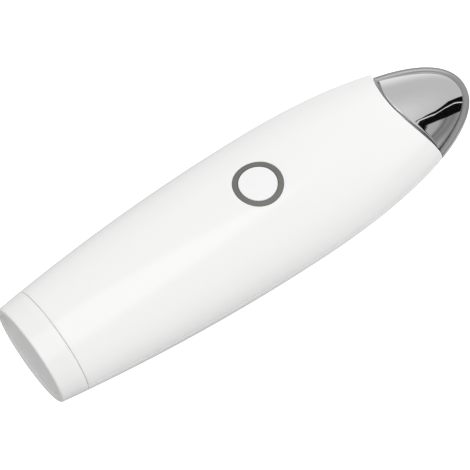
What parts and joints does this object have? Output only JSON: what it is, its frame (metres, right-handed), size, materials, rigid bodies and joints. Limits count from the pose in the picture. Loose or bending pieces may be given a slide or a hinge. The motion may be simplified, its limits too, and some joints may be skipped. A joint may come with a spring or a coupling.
{
  "type": "heated eye massager wand",
  "caption": "Slim torpedo-shaped massager wand with a domed chrome heating tip, a flush round button in a ring, and a pull-off end cap over its battery.",
  "frame": {"origin": "under the middle of the wand's length and width, on the surface that the flat of its back lies on", "axes": "+X along the wand from the base end to the chrome tip, +Z from the back to the front, where the button is, +Y to the left when looking toward the tip"},
  "size_m": [0.1318, 0.0386, 0.0267],
  "materials": {
    "cover_white": "high gloss",
    "cap_white": "high gloss",
    "button_white": "gloss",
    "ring_grey": "satin",
    "satin_chrome": "satin",
    "polished_chrome": "mirror polish",
    "seal_rubber": "matte",
    "contact_metal": "nickel plated",
    "spring_steel": "nickel plated",
    "film_amber": "satin",
    "component_black": "matte",
    "frame_plastic": "as moulded",
    "battery_jacket": "plain printed film",
    "board_green": "solder mask",
    "screw_steel": "zinc plated",
    "capacitor_tan": "satin",
    "plunger_grey": "matte",
    "can_steel": "plated",
    "magnet_dark": "matte",
    "winding_copper": "enamelled wire",
    "weight_alloy": "sintered",
    "lead_red": "satin",
    "lead_white": "satin"
  },
  "bodies": {
    "body": {"front_cover": "cover_white", "rear_cover": "cover_white", "button_ring": "ring_grey", "head_housing": "satin_chrome", "plate_gasket": "seal_rubber", "massage_plate": "polished_chrome", "heater_film": "film_amber", "thermal_sensor": "component_black", "plate_carrier": "frame_plastic", "inner_frame": "frame_plastic", "positive_contact": "contact_metal", "negative_strip": "contact_metal", "circuit_board": "board_green", "board_screws": "screw_steel", "control_chip": "component_black", "boost_inductor": "component_black", "capacitors": "capacitor_tan", "switch_body": "component_black", "motor_can": "can_steel", "motor_magnets": "magnet_dark", "motor_endbell": "frame_plastic", "motor_sleeve": "seal_rubber", "motor_saddle": "frame_plastic", "motor_clamp": "frame_plastic", "clamp_screws": "screw_steel", "motor_leads": "lead_red", "heater_leads": "lead_white"},
    "button": {"power_button": "button_white"},
    "plunger": {"switch_plunger": "plunger_grey"},
    "rotor": {"motor_shaft": "screw_steel", "motor_armature": "winding_copper", "eccentric_weight": "weight_alloy"},
    "cap": {"end_cap": "cap_white", "cap_seal": "seal_rubber", "cap_contact": "contact_metal", "contact_spring": "spring_steel"},
    "battery": {"battery_cell": "battery_jacket"}
  },
  "joints": [
    {"name": "button_press", "type": "slide", "parent": "body", "child": "button", "axis": [0, 0, -1], "range_m": [0, 0.0004], "stiffness_N_per_m": 3000},
    {"name": "plunger_press", "type": "slide", "parent": "body", "child": "plunger", "axis": [0, 0, -1], "range_m": [0, 0.0004]},
    {"name": "motor_spin", "type": "hinge", "parent": "body", "child": "rotor", "pos_m": [0.03905, 0, 0.0109], "axis": [1, 0, 0], "continuous": true},
    {"name": "cap_pull", "type": "slide", "parent": "body", "child": "cap", "axis": [-1, 0, 0], "range_m": [0, 0.064]},
    {"name": "battery_slide", "type": "slide", "parent": "body", "child": "battery", "axis": [-1, 0, 0], "range_m": [0, 0.048]}
  ],
  "couplings": [
    {"joint": "plunger_press", "follows": "button_press", "ratio": 1},
    {"joint": "battery_slide", "follows": "cap_pull", "ratio": 0.75}
  ]
}
